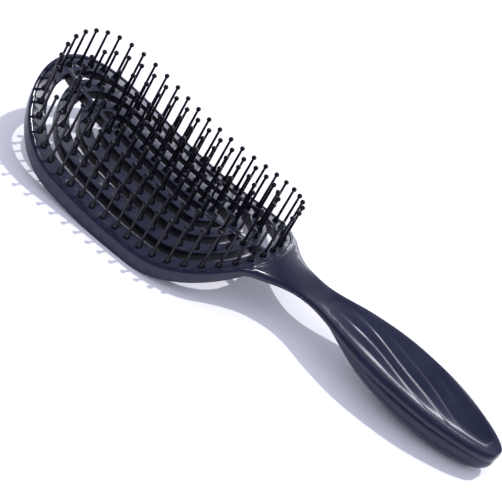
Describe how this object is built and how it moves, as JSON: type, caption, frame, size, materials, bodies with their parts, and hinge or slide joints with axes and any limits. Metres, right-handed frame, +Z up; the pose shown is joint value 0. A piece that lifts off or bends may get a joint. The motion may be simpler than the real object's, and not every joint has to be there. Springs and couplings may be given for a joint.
{
  "type": "detangling brush",
  "caption": "Vented detangling brush: oval rim, flexible concentric loops of ball-tipped pins and a leaf-shaped handle with a ridged grip.",
  "frame": {"origin": "on the table, under the middle of the whole brush's box", "axes": "+X along the handle towards its end, +Z up, the way the pins point"},
  "size_m": [0.2397, 0.0792, 0.0469],
  "materials": {
    "body": "satin",
    "grip": "satin",
    "bed": "satin",
    "pin": "gloss"
  },
  "bodies": {
    "body": {"frame": "body", "handle_back": "body", "grip_inlay": "grip", "bed_ring": "bed", "pins_ring_left": "pin", "pins_ring_right": "pin"},
    "loop_1_left": {"loop_1_left": "bed", "pins_1_left": "pin"},
    "loop_1_right": {"loop_1_right": "bed", "pins_1_right": "pin"},
    "loop_2_left": {"loop_2_left": "bed", "pins_2_left": "pin"},
    "loop_2_right": {"loop_2_right": "bed", "pins_2_right": "pin"},
    "loop_3_left": {"loop_3_left": "bed", "pins_3_left": "pin"},
    "loop_3_right": {"loop_3_right": "bed", "pins_3_right": "pin"}
  },
  "joints": [
    {"name": "loop_1_left_flex", "type": "hinge", "parent": "body", "child": "loop_1_left", "pos_m": [-0.05777, 0.00135, 0.01826], "axis": [0.9972, 0, -0.075], "range_deg": [-6, 2], "stiffness_Nm_per_rad": 0.24},
    {"name": "loop_1_right_flex", "type": "hinge", "parent": "body", "child": "loop_1_right", "pos_m": [-0.05777, -0.00135, 0.01826], "axis": [-0.9972, 0, 0.075], "range_deg": [-6, 2], "stiffness_Nm_per_rad": 0.24},
    {"name": "loop_2_left_flex", "type": "hinge", "parent": "body", "child": "loop_2_left", "pos_m": [-0.05795, 0.00135, 0.01593], "axis": [0.9972, 0, -0.075], "range_deg": [-8, 3], "stiffness_Nm_per_rad": 0.09},
    {"name": "loop_2_right_flex", "type": "hinge", "parent": "body", "child": "loop_2_right", "pos_m": [-0.05795, -0.00135, 0.01593], "axis": [-0.9972, 0, 0.075], "range_deg": [-8, 3], "stiffness_Nm_per_rad": 0.09},
    {"name": "loop_3_left_flex", "type": "hinge", "parent": "body", "child": "loop_3_left", "pos_m": [-0.05808, 0.00135, 0.01415], "axis": [0.9972, 0, -0.075], "range_deg": [-10, 4], "stiffness_Nm_per_rad": 0.03},
    {"name": "loop_3_right_flex", "type": "hinge", "parent": "body", "child": "loop_3_right", "pos_m": [-0.05808, -0.00135, 0.01415], "axis": [-0.9972, 0, 0.075], "range_deg": [-10, 4], "stiffness_Nm_per_rad": 0.03}
  ]
}
